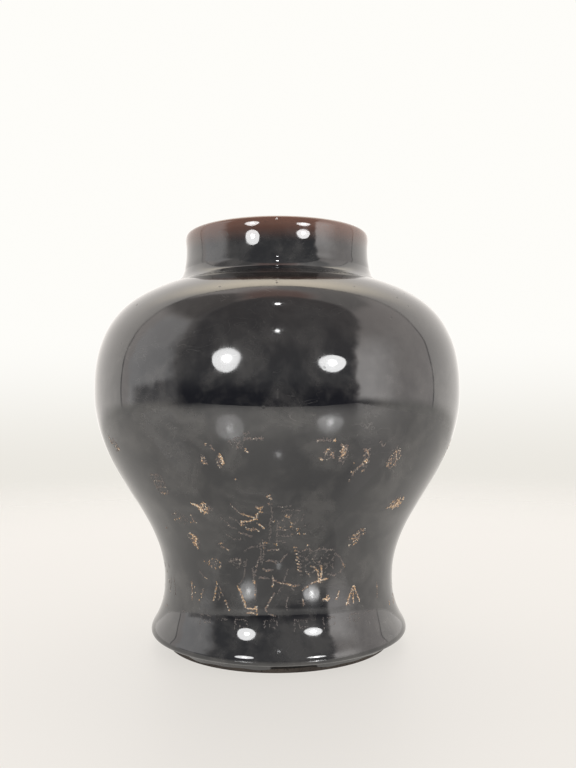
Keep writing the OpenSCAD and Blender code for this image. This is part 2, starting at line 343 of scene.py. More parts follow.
def glaze_material():
    """Mirror-black glaze: brown on the thin lip, hazy and pitted on the shoulder, cloudy and scuffed."""
    black, grey_film = (0.0080, 0.0085, 0.0100, 1), (0.050, 0.0485, 0.047, 1)
    hazy_brown, pitted = (0.017, 0.0125, 0.0105, 1), (0.006, 0.004, 0.003, 1)
    lip_brown, scuffed = (0.155, 0.070, 0.046, 1), (0.11, 0.105, 0.10, 1)
    made, g, shader = material("black_glaze")
    place = g.add("ShaderNodeTexCoord", 3)
    height = g.add("ShaderNodeSeparateXYZ", 2, None, i0=place)
    patchy = g.noise(place, 14, 4, 0.6)
    cloud = g.noise(place, 34, 5, 0.62, 0.4)
    fine = g.noise(place, 160, 3, 0.6)

    # where the lip is brown, the shoulder is hazy, and a thin grey film clouds the rest
    wander = g.math("MULTIPLY_ADD", patchy, 8 * MM, height)
    lip = g.step(wander, TOP_Z - 13 * MM, TOP_Z + 2 * MM)
    shoulder = g.window(height, 165 * MM, 222 * MM, 240 * MM, 247 * MM)
    haze = g.times(shoulder, g.step(patchy, 0.35, 0.7, 0.55, 1.0))
    film = g.step(g.math("MULTIPLY_ADD", g.noise(place, 110, 3, 0.6), 0.35, cloud), 0.56, 0.88)
    colour = g.mix(film, black, grey_film)
    colour = g.mix(haze, colour, hazy_brown)
    colour = g.mix(lip, colour, lip_brown)

    # hairline scuffs where the pot has been handled and wiped
    drawn = g.add("ShaderNodeMapping", 0, None, Vector=place, Rotation=(0.5, 0.3, 0.9), Scale=(1, 1, 2.2))
    line = g.math("ABSOLUTE", g.math("SUBTRACT", g.noise(drawn, 42, 2, 0.5, 1.5), 0.5))
    scuff = g.times(g.step(line, 0.004, 0.0015), g.step(g.noise(place, 19, 2, 0.5), 0.52, 0.62))
    colour = g.mix(g.times(scuff, 0.6), colour, scuffed)

    # pinholes: one cell in five has one, and they are deepest in the haze
    dots = g.tree.nodes.new("ShaderNodeTexVoronoi")
    g.feed(dots.inputs["Vector"], place)
    g.feed(dots.inputs["Scale"], 150.0)
    chosen = g.add("ShaderNodeSeparateColor", 0, None, i0=dots.outputs["Color"])
    pit = g.times(g.step(dots.outputs["Distance"], 0.16, 0.08), g.step(chosen, 0.80, 0.82))
    pit = g.times(pit, g.step(haze, 0.1, 0.9, 0.12, 1.0))
    colour = g.mix(pit, colour, pitted)
    g.feed(shader.inputs["Base Color"], colour)

    rough = g.math("MULTIPLY_ADD", haze, 0.06, g.step(fine, 0.3, 0.8, 0.02, 0.045))
    rough = g.math("MULTIPLY_ADD", film, 0.05, rough)
    g.feed(shader.inputs["Roughness"], g.math("MULTIPLY_ADD", pit, 0.3, rough))
    shader.inputs["IOR"].default_value = 1.82

    ripple = g.bump(g.noise(place, 55, 2, 0.4), 0.35, 0.15 * MM)
    peel = g.bump(fine, 0.25, 0.02 * MM, ripple)
    g.feed(shader.inputs["Normal"], g.bump(pit, 0.5, -0.15 * MM, peel))
    return made


def inner_glaze_material():
    """Brown-black glaze inside, streaked by the way it was poured and swirled."""
    made, g, shader = material("inner_brown_glaze")
    place = g.add("ShaderNodeTexCoord", 3)
    height = g.add("ShaderNodeSeparateXYZ", 2, None, i0=place)
    stretched = g.add("ShaderNodeMapping", 0, None, Vector=place, Scale=(30, 30, 5))
    streak = g.noise(stretched, 1.0, 4, 0.6)
    lip = g.step(height, TOP_Z - 16 * MM, TOP_Z + 2 * MM)
    colour = g.mix(g.step(streak, 0.3, 0.7), (0.014, 0.010, 0.008, 1), (0.040, 0.022, 0.014, 1))
    g.feed(shader.inputs["Base Color"], g.mix(lip, colour, (0.085, 0.030, 0.015, 1)))
    g.feed(shader.inputs["Roughness"], g.step(streak, 0.2, 0.8, 0.06, 0.18))
    shader.inputs["IOR"].default_value = 1.65
    g.feed(shader.inputs["Normal"], g.bump(streak, 0.3, 0.3 * MM))
    return made


def clay_material(name, dark, light, rough=0.85):
    """Bare fired clay, clouded by the kiln and gritty."""
    made, g, shader = material(name)
    place = g.add("ShaderNodeTexCoord", 3)
    body = g.noise(place, 45, 5, 0.6)
    grit = g.noise(place, 900, 2, 0.5)
    colour = g.mix(g.step(body, 0.3, 0.7), dark, light)
    speck = tuple(0.35 * channel for channel in dark[:3]) + (1,)
    colour = g.mix(g.step(grit, 0.62, 0.7), colour, speck)
    g.feed(shader.inputs["Base Color"], colour)
    g.feed(shader.inputs["Roughness"], g.step(grit, 0.3, 0.7, rough - 0.1, min(1, rough + 0.1)))
    g.feed(shader.inputs["Normal"], g.bump(g.math("ADD", grit, body), 0.6, 0.2 * MM))
    return made


def gilt_material():
    """Worn gold: near-white on the best-kept flakes as painted glints, red-brown where it is thin, dull
    where the ground is bare.
    """
    dark_ground, pale_ground = (0.080, 0.072, 0.069, 1), (0.25, 0.215, 0.20, 1)
    thin_gold, gold, glint_gold = (0.34, 0.225, 0.165, 1), (0.90, 0.54, 0.235, 1), (1.0, 0.94, 0.82, 1)
    made, g, shader = material("worn_gilt_and_glints")
    place = g.add("ShaderNodeTexCoord", 3)
    left = g.add("ShaderNodeAttribute", 2, {"attribute_name": "gold", "attribute_type": "GEOMETRY"})
    rub = g.noise(place, 1100, 2, 0.6)
    keep = g.math("MULTIPLY", left, g.step(rub, 0.25, 0.65, 0.5, 1.0))
    ground = g.mix(rub, dark_ground, pale_ground)
    colour = g.mix(g.step(keep, 0.16, 0.36), ground, thin_gold)
    colour = g.mix(g.step(keep, 0.36, 0.66), colour, gold)
    # painted glints: the best-kept flakes turn near-white, standing in for lamp highlights
    colour = g.mix(g.step(keep, 0.68, 0.92), colour, glint_gold)
    g.feed(shader.inputs["Base Color"], colour)
    g.feed(shader.inputs["Metallic"], g.step(keep, 0.25, 0.7, 0.0, 0.8))
    g.feed(shader.inputs["Roughness"], g.step(keep, 0.0, 1.0, 0.62, 0.34))
    g.feed(shader.inputs["Normal"], g.bump(rub, 0.4, 0.05 * MM))
    return made


GLAZE = glaze_material()
INNER_GLAZE = inner_glaze_material()
CLAY = clay_material("bare_clay", (0.16, 0.10, 0.065, 1), (0.30, 0.20, 0.13, 1))
WASHED_CLAY = clay_material("iron_washed_clay", (0.035, 0.028, 0.023, 1), (0.065, 0.052, 0.042, 1))
SLIP = clay_material("fired_slip", (0.24, 0.17, 0.12, 1), (0.36, 0.27, 0.19, 1), 0.8)
GILT = gilt_material()


# ---------------------------------------------------------------- pieces: glaze

# waves of the glaze's ragged lower edge: turns round the jar, height in mm, phase
EDGE_WAVES = [(5, 0.5, 1), (11, 0.35, 0), (23, 0.25, 2)]


def make_outer_glaze():
    """The glaze shell: its uneven face, a ragged edge above the foot ring, and its back on the clay."""
    thickness, raised, edge_reach = 0.5 * MM, 0.6 * MM, 6 * MM
    ragged = sum(height * np.sin(turns * ANGLES + phase) for turns, height, phase in EDGE_WAVES)
    pull = (1 - smoothstep(FACE_LENGTH, 0, edge_reach))[:, None] * (ragged * MM + raised)
    face = FACE[:, None] + FACE_NORMAL[:, None] * unevenness(ANGLES, FACE_SHARE[:, None])[..., None]
    back = FACE - FACE_NORMAL * thickness
    front_rows = rings(face[..., 0], face[..., 1] + pull)
    back_rows = rings(back[:, :1], back[:, 1:] + pull)[::-BACK_STEP]
    rows = np.concatenate([front_rows, back_rows])
    piece = add_mesh("glaze_outside", rows.reshape(-1, 3), revolve(len(rows), closed=True),
        ["outer_glaze"])
    piece.data.materials.append(GLAZE)


def make_inner_glaze():
    """The glaze inside the jar, over the wiped beads of the slip joints."""
    thickness, rougher, lip_reach = 0.4 * MM, 1.6, 8 * MM
    line = spline(INNER, INNER_STEPS)
    out = normals_of(line)
    waves = unevenness(ANGLES, np.linspace(0, 1, INNER_STEPS)[:, None]) * rougher
    off_axis = smoothstep(line[:, 0], 4 * MM, 30 * MM)[:, None]
    near_lip = 1 - smoothstep(line[:, 1], TOP_Z - lip_reach, TOP_Z)[:, None]
    face = line[:, None] - out[:, None] * (waves * off_axis * near_lip)[..., None]
    back = line + out * thickness
    # the first ring has no radius: one point closes each side there
    front_rows = rings(face[..., 0], face[..., 1])[1:]
    back_rows = rings(back[:, :1], back[:, 1:])[:0:-INNER_BACK_STEP]
    rows = np.concatenate([front_rows, back_rows])
    floor = INNER[0][1]
    points = np.concatenate([rows.reshape(-1, 3), [[0, 0, floor], [0, 0, floor - thickness]]])
    faces = [f[::-1] for f in revolve(len(rows))]
    top_middle, low_middle = len(points) - 2, len(points) - 1
    last_ring = (len(rows) - 1) * AROUND
    for i in range(AROUND):
        k = (i + 1) % AROUND
        faces.append([top_middle, i, k])
        faces.append([low_middle, last_ring + k, last_ring + i])
    piece = add_mesh("glaze_inside", points, faces, ["inner_glaze"])
    piece.data.materials.append(INNER_GLAZE)


# ---------------------------------------------------------------- pieces: gilding

# A stroke is (wear, width, place, points): wear is how much gold is left, width is in mm, place is
# (degrees round the jar, height in mm), and points are mm to the right and up from it.

def marks(wear, width, place, run, starts):
    """Short strokes that all run the same way, from several starts."""
    return [(wear, width, place, [(u, v), (u + run[0], v + run[1])]) for u, v in starts]


def row(count, wear, width, place, start, step, run):
    """Short strokes side by side at an even step."""
    starts = [(start[0] + step[0] * i, start[1] + step[1] * i) for i in range(count)]
    return marks(wear, width, place, run, starts)


def cluster(place, wide, tall, wear, count=12):
    """Strokes of many directions in an oval, as a worn blossom: every third one keeps its gold."""
    golden_angle, next_way, width, rubbed = 2.4, 1.7, 1.1, 0.4
    strokes = []
    for i in range(count):
        reach = math.sqrt((i + 0.5) / count) / 2
        u = wide * reach * math.cos(golden_angle * i)
        v = tall * reach * math.sin(golden_angle * i)
        du, dv = 0.9 * math.cos(next_way * i), 1.1 * math.sin(next_way * i + 0.5)
        kept = wear if i % 3 == 0 else rubbed * wear
        strokes.append((kept, width, place, [(u - du, v - dv), (u + du, v + dv)]))
    return strokes


# the places that many strokes share
SERPENT = (0, 72)
HEAD = (-10, 93)
BROW = (-6, 101)
CREST = (-3, 108)
WHISKERS = (-22, 78)
CURL = (-28, 65)
RIGHT_CLAW = (18, 55)
MIDDLE_CLAW = (2, 54)
LEFT_CLAW = (-15, 46)
LEFT_STEM = (-10.6, 55)
LEFT_WISP = (-27, 101)
LOW_WISP = (-35.5, 80)
RIGHT_WISP = (47, 100)
LEFT_RING = (-40.8, 114)
RIGHT_RING = (32.4, 80.6)
LEFT_PEAK = (-27.8, 47)
RIGHT_PEAK = (35.6, 44)
STROKES = {
    "gilt_serpent_belly": [
        *[(0.3, 0.9, SERPENT, [(u - 3, v + 0.4), (u + 3.2, v)]) for u, v in
            ((1.8, 16), (2.6, 12), (1.4, 8.4), (-4, -3.7), (-6.6, -9.4))],
        (0.5, 1.0, SERPENT, [(-6.4, 3.1), (0.2, 3.5)]),
        (0.45, 1.2, SERPENT, [(-12.8, -14), (-6.8, -14.6)]),
        (0.5, 0.9, SERPENT, [(-7.6, -4), (-4.6, -3.2), (-1.5, -5)]),
        (0.5, 0.9, SERPENT, [(-9.6, -8.6), (-7, -10.4), (-4.6, -8.8)]),
        (0.3, 0.8, SERPENT, [(-4.4, 22), (-4.2, 15), (-5.4, 9)]),
        (0.3, 0.8, SERPENT, [(-9, 10), (-8.4, 4), (-9.2, -2), (-10, -6)]),
        (0.3, 0.8, SERPENT, [(-10.6, 8), (-10.2, 2), (-11, -5)]),
        (0.3, 0.8, SERPENT, [(-0.4, 22), (-0.6, 14), (-0.9, 6.5)]),
        (0.45, 0.8, SERPENT, [(1, -4.6), (3, -2), (5, 0.6)]),
        (0.25, 0.8, SERPENT, [(5.6, -9), (3, -18), (-1, -24)]),
    ],
    "gilt_serpent_scales": [
        *cluster((16, 67), 26, 17, 0.34, 34),
        *cluster((5, 92), 16, 16, 0.3, 18),
        *cluster((-17, 66), 9, 7, 0.4, 10),
        # dots down the back, and the scales under them
        *marks(1.0, 1.5, SERPENT, (0.5, -0.4), [(3.7, 24.9), (5, 24.4), (7, 20.4), (6.4, 18.6), (9.9, 16),
            (14.5, 13.2), (16.4, 6.1), (-1.5, 7.4), (0.8, 18), (-3, 21.8), (11, 13.4)]),
        *row(8, 0.75, 0.9, SERPENT, (9, 5), (0.4, -2.1), (1.6, -0.4)),
        *row(7, 0.35, 0.8, SERPENT, (11.6, 2), (0.3, -2.4), (1.4, -0.8)),
        (0.4, 0.9, SERPENT, [(13.7, 2), (17, 4), (20.6, 1.6), (24.6, 3.4), (29, 2.2), (33.2, 2.2)]),
        (0.35, 0.9, SERPENT, [(35, 0), (39.6, -4), (43.2, -9.4), (40.9, -13), (36, -14.6), (31.4, -13.4)]),
        *[(0.35, 1.0, SERPENT, [(16 + 4.4 * i, -1.5 - 1.6 * i), (18 + 4.4 * i, -4.4 - 1.4 * i)])
            for i in range(5)],
        (0.7, 1.1, SERPENT, [(42, -8), (44, -9.6)]),
        # the head: jaws, lip, tooth, mane, crest and tuft
        (0.95, 1.3, HEAD, [(-5.4, -2.4), (-5.2, 0), (0, 0.6), (4.4, 2)]),
        (0.95, 1.2, HEAD, [(4.4, -0.6), (6.4, -2.2), (8, -3.6)]),
        (0.7, 1.2, HEAD, [(-3, -4), (0.4, -5), (2.6, -4.6), (5.2, -5.6)]),
        (0.4, 1.0, HEAD, [(-8, -7), (-4, -7.8), (0.4, -9.4)]),
        (1.0, 1.4, HEAD, [(-3.2, -2.2), (-2.8, -2)]),
        (0.45, 1.0, HEAD, [(-9.4, 10.8), (-6.6, 7.2), (-4.2, 5)]),
        (0.9, 1.1, HEAD, [(-4.2, 5), (0.2, 3.6), (4.4, 2.6), (4.6, 5.2)]),
        (0.25, 0.8, HEAD, [(-12, 3), (-8, 1), (-6, -2)]),
        (0.3, 0.9, HEAD, [(-17, 2), (-12, -4), (-9, -4.6)]),
        (0.85, 1.4, BROW, [(-2, 1.8), (0, 0.2), (1.8, 2)]),
        (0.85, 1.2, BROW, [(-1, -1.4), (1.2, -2)]),
        (0.9, 1.3, CREST, [(-1.6, 1), (0.4, 1.4), (1.6, -0.8)]),
        (0.5, 1.0, CREST, [(-0.4, -3.8), (1.6, -3.4)]),
        (0.25, 1.2, CREST, [(1, -5), (2, -10), (0.6, -15)]),
        (0.3, 0.7, CREST, [(5, -5), (9, -5.6), (13, -4.8)]),
        (0.25, 0.7, CREST, [(7, -8), (12, -7.2), (19, -7.8)]),
        # whiskers, fin and curl
        (0.6, 0.9, WHISKERS, [(-3.4, 0.2), (-0.4, 0.8)]),
        (0.6, 0.9, WHISKERS, [(-2.4, -1.2), (2.6, -3.6)]),
        (0.25, 0.9, WHISKERS, [(3, 6.4), (8, 3.4), (12, 3.8)]),
        (0.3, 0.9, WHISKERS, [(12, -4), (17, -0.8), (22, -0.6), (26, 0.6)]),
        (0.8, 0.9, WHISKERS, [(24, 1.6), (27, 2)]),
        *row(4, 0.35, 0.9, (-19, 68), (-3, -1.6), (2.3, 0.5), (1.4, 2.2)),
        *[(0.75 if i % 3 else 1.0, 1.0, CURL, [(4.1 * math.cos(0.9 * i), 3.1 * math.sin(0.9 * i)),
            (4.1 * math.cos(0.9 * i + 0.4), 3.1 * math.sin(0.9 * i + 0.4))]) for i in range(7)],
        (0.3, 0.8, CURL, [(-1.6, 0.4), (0, -1), (1.4, 0.6), (0.2, 1.4)]),
        *row(4, 0.8, 0.9, (-34, 66), (0, 0), (1.3, -0.7), (0.3, 0)),
    ],
    "gilt_claws": [
        (0.75, 1.0, RIGHT_CLAW, [(-10.6, -5), (-8, -3.6), (-5.6, -1.6), (-2.6, -0.6), (0, 0)]),
        (1.0, 2.2, RIGHT_CLAW, [(-0.2, -1), (0.2, 0.8)]),
        (0.9, 1.1, RIGHT_CLAW, [(0.6, 0.6), (1, 3), (0.8, 6), (0.2, 9.4)]),
        (0.85, 1.0, RIGHT_CLAW, [(-0.6, 0.6), (-1, 3.4), (-2, 6.4), (-4, 8.8)]),
        (0.5, 0.8, RIGHT_CLAW, [(-4, 8.8), (-6, 9.4)]),
        (1.0, 1.1, RIGHT_CLAW, [(0.4, 0.2), (3, 0.4), (5, 1)]),
        (0.5, 0.9, RIGHT_CLAW, [(-9, 6.6), (-7.4, 4.6), (-5.8, 2.8)]),
        (0.7, 1.0, MIDDLE_CLAW, [(-6.6, 3), (-3, 1), (0, 0), (3.4, -0.4), (6, -1.6), (9.6, -0.8)]),
        (0.8, 1.2, MIDDLE_CLAW, [(2.6, -0.4), (5.6, -1.4)]),
        (0.75, 1.0, MIDDLE_CLAW, [(-6.2, 4.4), (-6, 1), (-6.6, -2.4)]),
        (0.4, 0.9, MIDDLE_CLAW, [(5, -2.6), (6.4, -4.2)]),
        (0.3, 0.8, (-15, 60), [(2.6, 9), (1, 3), (0, -2), (-3, -7)]),
        (0.9, 1.2, LEFT_CLAW, [(-4.6, 6), (-2.6, 2.6), (-1.2, -2), (0.2, -6.2)]),
        (0.95, 1.1, LEFT_CLAW, [(0.2, -6.2), (1.6, -7.2), (4, -7.2), (7, -7.4)]),
        (0.9, 1.1, LEFT_CLAW, [(7, -5.8), (7.2, -8.6)]),
        (0.85, 1.0, LEFT_CLAW, [(1, -9.8), (4.4, -9.6), (7.8, -10.4)]),
        (0.9, 1.2, LEFT_STEM, [(0, 1), (0.2, -1)]),
        (0.45, 0.8, LEFT_STEM, [(-0.6, 9), (0, 1), (0.6, -6), (0.2, -12)]),
        (0.4, 0.8, LEFT_STEM, [(4, 16), (2, 10), (0.4, 3)]),
        (0.6, 0.9, (-3, 44), [(2, 4.6), (-0.6, 1), (-3, -3.8), (-4, -6.4)]),
        (0.45, 0.9, (-6, 36), [(0, 3), (2, 0), (6, -1)]),
        (0.6, 0.9, (10.6, 42), [(-0.4, 3), (0.6, -1.6)]),
        (0.35, 0.8, (4, 42), [(0, 4), (-1, -1), (-0.6, -4)]),
    ],
    "gilt_cloud_wisps": [
        *cluster((-25.5, 100.4), 9, 5.5, 1.0, 16),
        *cluster((-35.3, 78.6), 5, 9, 0.95, 14),
        *cluster((46.5, 100.4), 13, 7.5, 1.0, 20),
        *[(0.95, 1.1, LEFT_WISP, [(-6 + 1.4 * i, 2.4 - 0.3 * i), (-1 + 0.9 * i, 0.9 - 1.1 * i)])
            for i in range(4)],
        (0.9, 1.2, LEFT_WISP, [(-1.6, -0.6), (1.4, -2), (3.2, -3.2)]),
        (0.95, 1.2, LEFT_WISP, [(1.2, 2.2), (2.8, 3), (4.6, 2.4)]),
        (0.8, 1.0, LEFT_WISP, [(3.4, -0.8), (5, -2)]),
        (0.35, 0.8, LEFT_WISP, [(5.6, 0.6), (7.4, 0)]),
        (0.95, 1.3, LOW_WISP, [(-2.6, 3.4), (0, 2), (2.4, 0.4)]),
        (0.5, 0.9, LOW_WISP, [(-4.6, 1.8), (-3.4, -1), (-1.4, -3.4)]),
        (0.95, 1.3, LOW_WISP, [(0.8, -0.4), (0, -3), (0.4, -6.6)]),
        (0.7, 0.9, LOW_WISP, [(-1.8, -1.6), (-0.6, -3.8)]),
        *[(0.95, 1.3, RIGHT_WISP, [(-5 + 1.7 * i, -1.6 + 0.9 * i), (-0.4 + 1.7 * i, -2.4 + 0.7 * i)])
            for i in range(4)],
        (1.0, 1.5, RIGHT_WISP, [(3.6, 3.4), (5.6, 2)]),
        (0.7, 1.0, RIGHT_WISP, [(-9, -2), (-5, -1.6)]),
        (0.9, 1.2, RIGHT_WISP, [(-0.4, 2.2), (1.4, 3)]),
        (0.4, 1.6, (-6.6, 142), [(-5, 0.6), (0, 0.2), (5.6, 0.6)]),
        (0.3, 1.4, (-6.6, 142), [(-5.6, 3), (-2, 3.4)]),
        (0.4, 1.4, (12, 141), [(-4, 0.2), (1, 0.4), (4.6, 0.2)]),
        (0.9, 1.3, (12, 141), [(5.2, 0.2), (7, 0.2)]),
    ],
    "gilt_medallions": [
        *cluster(LEFT_RING, 9, 11, 0.35, 14),
        *cluster(RIGHT_RING, 8, 9, 0.55, 12),
        *[(0.35, 1.1, LEFT_RING, [(-4, 1.9 * i), (4, 1.9 * i + 0.4)]) for i in (-3, -1, 1, 3)],
        *[(0.3, 0.9, LEFT_RING, [(u, -5), (u, 6)]) for u in (-4.4, 4.4)],
        (0.7, 1.2, LEFT_RING, [(-3, -5.4), (1.4, -5.6)]),
        *[(0.8, 1.1, RIGHT_RING, [(3.4 * math.cos(a) - 0.8, 3 * math.sin(a)),
            (1.4 * math.cos(a + 0.5), 1.3 * math.sin(a + 0.5))]) for a in (0.2, 1.3, 2.4, 3.3, 4.3, 5.4)],
        *marks(1.0, 1.6, RIGHT_RING, (0.7, 0.3),
            [(-4.4, -4.8), (-0.6, -4.4), (1.2, 4.4), (4.4, 1.8), (3.4, 4.2)]),
        (0.35, 0.9, RIGHT_RING, [(-6, 1), (-5, -1.4)]),
    ],
    "gilt_blossom_sprigs": [
        *cluster((18, 133), 4.5, 12, 0.75, 14),
        *cluster((25.4, 130), 5, 14, 0.6, 16),
        *cluster((35.4, 129.5), 9, 13, 0.6, 22),
        *cluster((14, 133), 6, 7, 0.45, 10),
        *cluster((-16, 130), 3, 7, 0.8, 8),
        *cluster((-21, 129.5), 4, 5, 0.45, 7),
        *cluster((-11, 140), 10, 6, 0.25, 12),
        *cluster((-58, 136), 8, 9, 0.5, 10),
        *cluster((-39, 93), 12, 10, 0.35, 14),
        (1.0, 1.5, (-15.8, 130), [(-0.6, 2), (1, 1), (0.9, -1.2), (0.2, -2.4)]),
        (0.45, 1.0, (-15.8, 130), [(-2.4, 1), (-2.8, -1.6), (-1, -4)]),
        (0.75, 1.2, (-21.3, 129), [(-0.8, 1), (0.2, -0.8), (2, -1)]),
        (1.0, 1.5, (-19.5, 139.3), [(-0.3, 0), (0.4, 0)]),
        (0.6, 1.1, (-17.5, 136), [(-1.4, 2.6), (-0.8, 0.6), (0.6, -0.4)]),
        (0.6, 1.0, (-10, 137), [(-2, 1), (-1.2, 0)]),
        (0.75, 1.1, (-8.6, 135.5), [(-0.6, 1.2), (0.4, 0), (1, -1)]),
        (0.7, 1.2, (-12.5, 119.5), [(-0.4, 0), (0.4, -0.4)]),
        (0.75, 1.2, (13.2, 135), [(1, 1.4), (-0.6, 0.6), (-0.4, -1.4)]),
        (0.9, 1.2, (12, 130), [(-1, 0.8), (1, 0.2)]),
        (0.6, 1.5, (15, 133), [(-1, 1.8), (0, -1), (1, -1.6)]),
        (0.7, 1.5, (18, 134), [(-2, 4.4), (0.4, 3), (-0.6, 0), (0.2, -3)]),
        (0.75, 1.2, (18, 134), [(1.8, 3.6), (1.4, 0.6), (-0.8, -1.4)]),
        *marks(0.9, 1.2, (21.4, 123), (0.5, 0), [(0, 5), (0, -0.4), (0, -4.8)]),
        (0.6, 1.3, (25, 131), [(-2, 4.6), (0.4, 4), (1.8, 1.4)]),
        (1.0, 2.0, (25, 131), [(0.6, -1.4), (1, -3.2)]),
        (0.5, 1.2, (25, 131), [(-0.4, -3.4), (-3, -6), (-5.2, -8), (-6, -11)]),
        (0.65, 1.3, (35.4, 129), [(-4.6, -1.6), (-3, -4.2), (-1.2, -2.4), (-2, 0.6), (-4.2, -1)]),
        (0.65, 1.3, (35.4, 129),
            [(1.2, -3.4), (2.6, -1.2), (1.2, 1.4), (0.4, 4.6), (2.6, 5.6), (3.4, 2.6)]),
        (0.35, 1.0, (30, 138), [(-2, 2), (0, -1), (2, 0.6)]),
        (0.6, 1.3, (-57, 135), [(-2, 1), (0, -1.6), (2.6, -0.8), (1, 1.8)]),
        (0.5, 1.3, (-61, 140), [(-1, 2), (1.4, -1), (0, -3)]),
        (0.8, 1.2, (-51, 84), [(-0.4, 0), (0.6, 0.3)]),
        *marks(0.6, 1.2, (-38, 93), (0.6, -0.3), [(-4, 2.4), (-5, -1.2), (-1, 0), (3, -1.4), (6, -2)]),
        (0.55, 0.9, (-32.3, 93), [(0, 3), (0, -1), (-1.4, -2.6)]),
        (0.55, 0.9, (-32.3, 93), [(0, -1), (1.4, -2.4)]),
        *marks(0.45, 1.2, (-70, 50), (0, -2), [(-3, 6), (1, 2), (5, -4), (8, 7)]),
    ],
    "gilt_peak_border": [
        *row(6, 0.95, 1.2, LEFT_PEAK, (-0.4, 5.8), (-0.62, -2.1), (-0.3, -1)),
        (0.4, 0.8, LEFT_PEAK, [(0.6, 4), (2, 0.4), (3.4, -2)]),
        *row(4, 0.9, 1.1, LEFT_PEAK, (4.4, -4), (0.9, -1.9), (0.6, -1)),
        (0.3, 0.9, LEFT_PEAK, [(0, 0), (0.8, -3.4), (-0.4, -5)]),
        (0.7, 0.9, (-43.4, 45), [(0, 6), (-0.2, 0), (0, -6)]),
        *marks(1.0, 1.4, (-43.4, 45), (0.4, -0.2), [(2.4, 2.6), (2.4, -0.6)]),
        (1.0, 1.3, (-39, 40.3), [(-0.3, 0), (0.4, -0.2)]),
        (0.45, 0.9, (-36.6, 46), [(0.8, 2), (-0.4, -1), (-1.2, -4)]),
        (0.45, 0.8, (-34, 56), [(-5, 3), (-2, 0), (1, -2)]),
        (0.9, 1.1, RIGHT_PEAK, [(0.2, 5), (-1.2, 2), (-2.6, -1), (-4, -4), (-5.2, -6.4)]),
        (0.9, 1.1, RIGHT_PEAK, [(0.2, 5), (1.6, 3), (3, 0), (4.4, -2.4), (5.6, -5)]),
        (0.85, 0.9, RIGHT_PEAK, [(0.2, 3), (0.4, -1), (0.4, -6)]),
        (0.6, 0.9, RIGHT_PEAK, [(-3.4, -4), (-2.6, -6.4)]),
        (0.5, 1.1, (53, 43), [(0, 4), (0.4, 0), (0.2, -5)]),
        (0.9, 1.1, (21.8, 43.2), [(-3.4, 0), (-1, 0), (1.6, 0.2)]),
        (0.9, 1.2, (21.8, 43.2), [(0, 2), (0.2, -1.6)]),
        (0.8, 1.1, (27.4, 45.4), [(1.2, 1.6), (0, -0.6), (-1, -3)]),
        (0.4, 0.9, (-58, 44), [(-2, 5), (-0.4, 0), (0.4, -5)]),
        (0.4, 0.9, (-64, 44), [(1, 4), (0, -2), (-1.6, -5)]),
    ],
    "gilt_fret_border": [
        *[(0.16, 0.9, (az, 29), [(-4.4, -3), (-4.4, 3), (3, 3), (3, -1), (-1.4, -1), (-1.4, 1)])
            for az in (-34, -16, -3, 10, 23, 36)],
        *[(0.12, 0.9, (az, 29), [(-4.4, 2), (3, 2.4)]) for az in (-47, -25, 45)],
    ],
}
# how far round to each side of -Y these strokes stand in for the CAD model's bars
FRONT_SECTOR = math.radians(66)


def dabs_on_strokes(node):
    """Angle, height, radius and gold of each flake on a node's strokes: bare ground, then gold, some as
    painted glints.
    """
    pitch, least_radius, more_radius = 0.26 * MM, 0.16, 0.22
    most_ground, ground_per_wear, gold_per_wear = 1.1, 2.4, 1.5
    ground_spread, gold_spread = 0.36, 0.27
    ground_left, least_left, more_left, glint_chance = 0.08, 0.20, 0.70, 0.40
    for wear, width, (az, height), points in STROKES[node]:
        place_r = np.linalg.norm(face_point(0.0, height * MM)[:2])
        path = np.array([(math.radians(az) + u * MM / place_r, (height + v) * MM) for u, v in points])
        size = np.array([place_r, 1.0])
        for a, b in zip(path[:-1], path[1:]):
            length = np.linalg.norm((b - a) * size)
            ground = (min(most_ground, ground_per_wear * wear), ground_spread, False)
            for share, spread, gilded in (ground, (gold_per_wear * wear, gold_spread, True)):
                for _ in range(int(rng.random() + length / pitch * width * share)):
                    where = a + (b - a) * rng.random() + rng.normal(0, spread * width * MM, 2) / size
                    draw = rng.random()
                    left = wear * (least_left + more_left * draw) if gilded else ground_left * draw
                    # painted glints: flakes picked at random, more on well-kept strokes, get full gold and
                    # so the near-white tone
                    if gilded and rng.random() < glint_chance * wear**2:
                        left = 1.0
                    yield where[0], where[1], (least_radius + more_radius * rng.random()) * MM, left


def kept_gold(angle, z):
    """How well the gold has kept at a place on the jar's sides and back, 0 to 1."""
    return 0.5 + 0.5 * math.sin(9 * angle + 2.1 + 60 * z) * math.sin(140 * z - 3 * angle)


